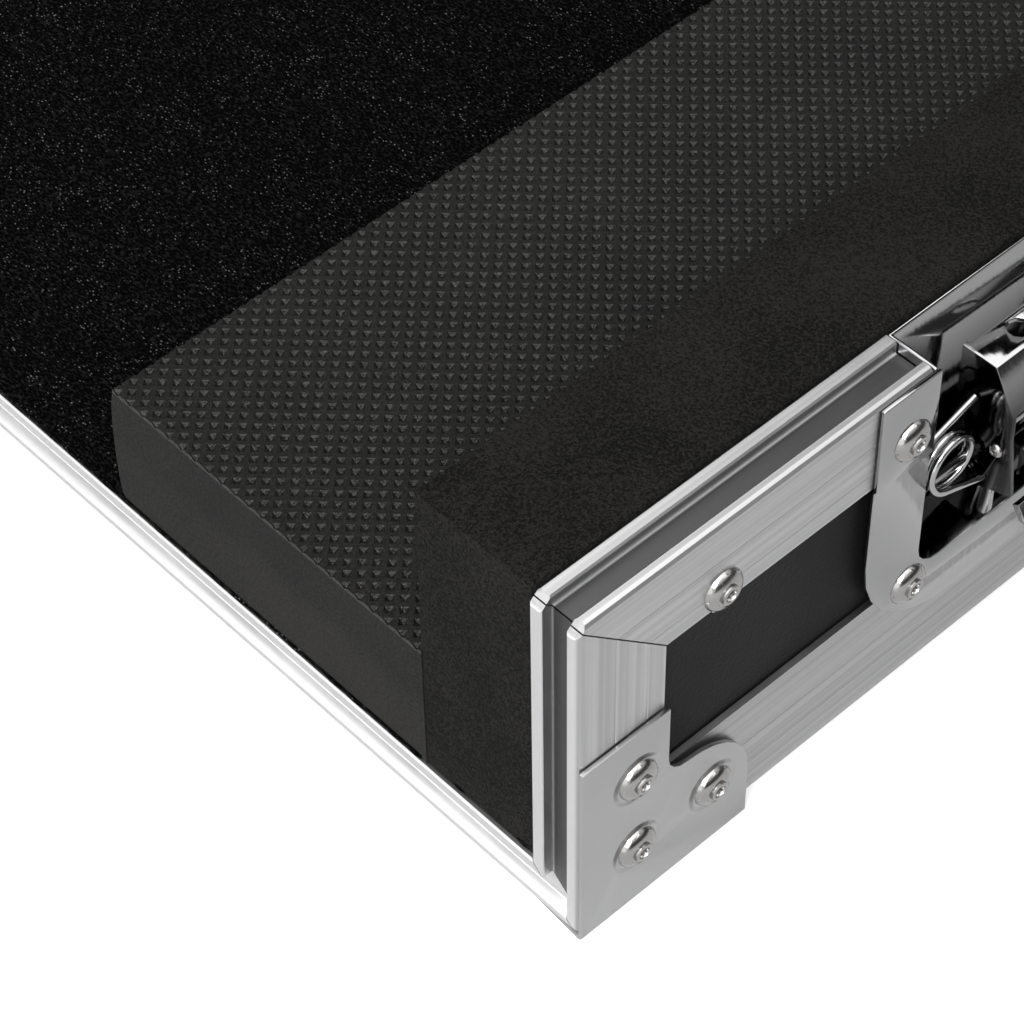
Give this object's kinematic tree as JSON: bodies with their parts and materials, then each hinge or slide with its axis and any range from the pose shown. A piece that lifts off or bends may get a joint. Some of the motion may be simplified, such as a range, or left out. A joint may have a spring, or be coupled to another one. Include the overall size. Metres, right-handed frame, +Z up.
{
  "type": "equipment case",
  "caption": "Mixer transport case: shallow tray with grooved rims, foam rails and recessed turn latches, and a deep lid hinged along the rear.",
  "frame": {"origin": "ground plane under the middle of the open case's bounding box", "axes": "+Z up, -Y towards the open front sill, +X towards the right-hand wall"},
  "size_m": [0.6014, 0.5908, 0.5915],
  "materials": {
    "aluminium": "satin",
    "plated": "satin",
    "chrome": "polished",
    "board": "fine grained laminate",
    "foam": "closed-cell foam, matte",
    "felt": "short pile",
    "grip": "matte"
  },
  "bodies": {
    "tray": {"floor_panel": "board", "rear_panel": "board", "front_sill": "aluminium", "top_rail_rear": "aluminium", "bottom_edge_rear": "aluminium", "floor_lining": "felt", "side_panel_right": "board", "side_panel_left": "board", "front_post_right": "aluminium", "front_post_left": "aluminium", "top_rail_front_right": "aluminium", "top_rail_front_left": "aluminium", "top_rail_back_right": "aluminium", "top_rail_back_left": "aluminium", "bottom_edge_right": "aluminium", "bottom_edge_left": "aluminium", "rear_corner_edge_right": "aluminium", "rear_corner_edge_left": "aluminium", "corner_plate_right": "plated", "corner_plate_left": "plated", "rear_ball_corner_right": "plated", "rear_ball_corner_left": "plated", "foam_rail_right": "foam", "foam_rail_left": "foam", "foam_block_right": "foam", "foam_block_left": "foam", "latch_dish_right": "chrome", "latch_dish_left": "chrome", "latch_spring_right": "chrome", "latch_spring_left": "chrome", "hinge_base_leaf_right": "plated", "hinge_base_leaf_left": "plated"},
    "latch_carriage_right": {"latch_carriage_right": "plated"},
    "latch_hook_right": {"latch_hook_right": "chrome"},
    "latch_spindle_right": {"latch_spindle_right": "plated"},
    "latch_wing_right": {"latch_wing_right": "chrome"},
    "latch_carriage_left": {"latch_carriage_left": "plated"},
    "latch_hook_left": {"latch_hook_left": "chrome"},
    "latch_spindle_left": {"latch_spindle_left": "plated"},
    "latch_wing_left": {"latch_wing_left": "chrome"},
    "lid": {"lid_top_panel": "board", "lid_front_panel": "board", "lid_rear_panel": "board", "lid_tongue_back": "aluminium", "lid_edge_frame": "aluminium", "lid_lining": "foam", "handle_dish": "chrome", "lid_side_panel_right": "board", "lid_side_panel_left": "board", "lid_tongue_front_right": "aluminium", "lid_tongue_front_left": "aluminium", "lid_ball_corner_rear_right": "plated", "lid_ball_corner_rear_left": "plated", "lid_ball_corner_front_right": "plated", "lid_ball_corner_front_left": "plated", "lid_keeper_dish_right": "chrome", "lid_keeper_dish_left": "chrome", "hinge_lid_leaf_right": "plated", "hinge_lid_leaf_left": "plated"},
    "handle": {"handle_bail": "grip"}
  },
  "joints": [
    {"name": "lid_hinge", "type": "hinge", "parent": "tray", "child": "lid", "pos_m": [0, 0.18957, 0.09285], "axis": [1, 0, 0], "range_deg": [0, 90]},
    {"name": "latch_swing_right", "type": "hinge", "parent": "tray", "child": "latch_carriage_right", "pos_m": [0.2815, -0.16792, 0.0572], "axis": [0, -1, 0], "range_deg": [0, 4.5], "stiffness_Nm_per_rad": 0.2},
    {"name": "latch_spindle_right", "type": "hinge", "parent": "latch_carriage_right", "child": "latch_spindle_right", "pos_m": [0.283, -0.16792, 0.0432], "axis": [1, 0, 0], "range_deg": [0, 180]},
    {"name": "latch_lift_right", "type": "slide", "parent": "latch_carriage_right", "child": "latch_hook_right", "axis": [0, 0, 1], "range_m": [0, 0.006]},
    {"name": "latch_wing_right", "type": "hinge", "parent": "latch_spindle_right", "child": "latch_wing_right", "pos_m": [0.2866, -0.16792, 0.0412], "axis": [0, -1, 0], "range_deg": [-33, 57]},
    {"name": "latch_swing_left", "type": "hinge", "parent": "tray", "child": "latch_carriage_left", "pos_m": [-0.2815, -0.16792, 0.0572], "axis": [0, 1, 0], "range_deg": [0, 4.5], "stiffness_Nm_per_rad": 0.2},
    {"name": "latch_spindle_left", "type": "hinge", "parent": "latch_carriage_left", "child": "latch_spindle_left", "pos_m": [-0.283, -0.16792, 0.0432], "axis": [-1, 0, 0], "range_deg": [0, 180]},
    {"name": "latch_lift_left", "type": "slide", "parent": "latch_carriage_left", "child": "latch_hook_left", "axis": [0, 0, 1], "range_m": [0, 0.006]},
    {"name": "latch_wing_left", "type": "hinge", "parent": "latch_spindle_left", "child": "latch_wing_left", "pos_m": [-0.2866, -0.16792, 0.0412], "axis": [0, 1, 0], "range_deg": [-33, 57]},
    {"name": "handle_swing", "type": "hinge", "parent": "lid", "child": "handle", "pos_m": [0, 0.22303, 0.58425], "axis": [-1, 0, 0], "range_deg": [0, 90], "stiffness_Nm_per_rad": 0.1}
  ],
  "couplings": [
    {"joint": "latch_spindle_right", "follows": "latch_lift_right", "rad_per_m": 523.6},
    {"joint": "latch_spindle_left", "follows": "latch_lift_left", "rad_per_m": 523.6}
  ]
}
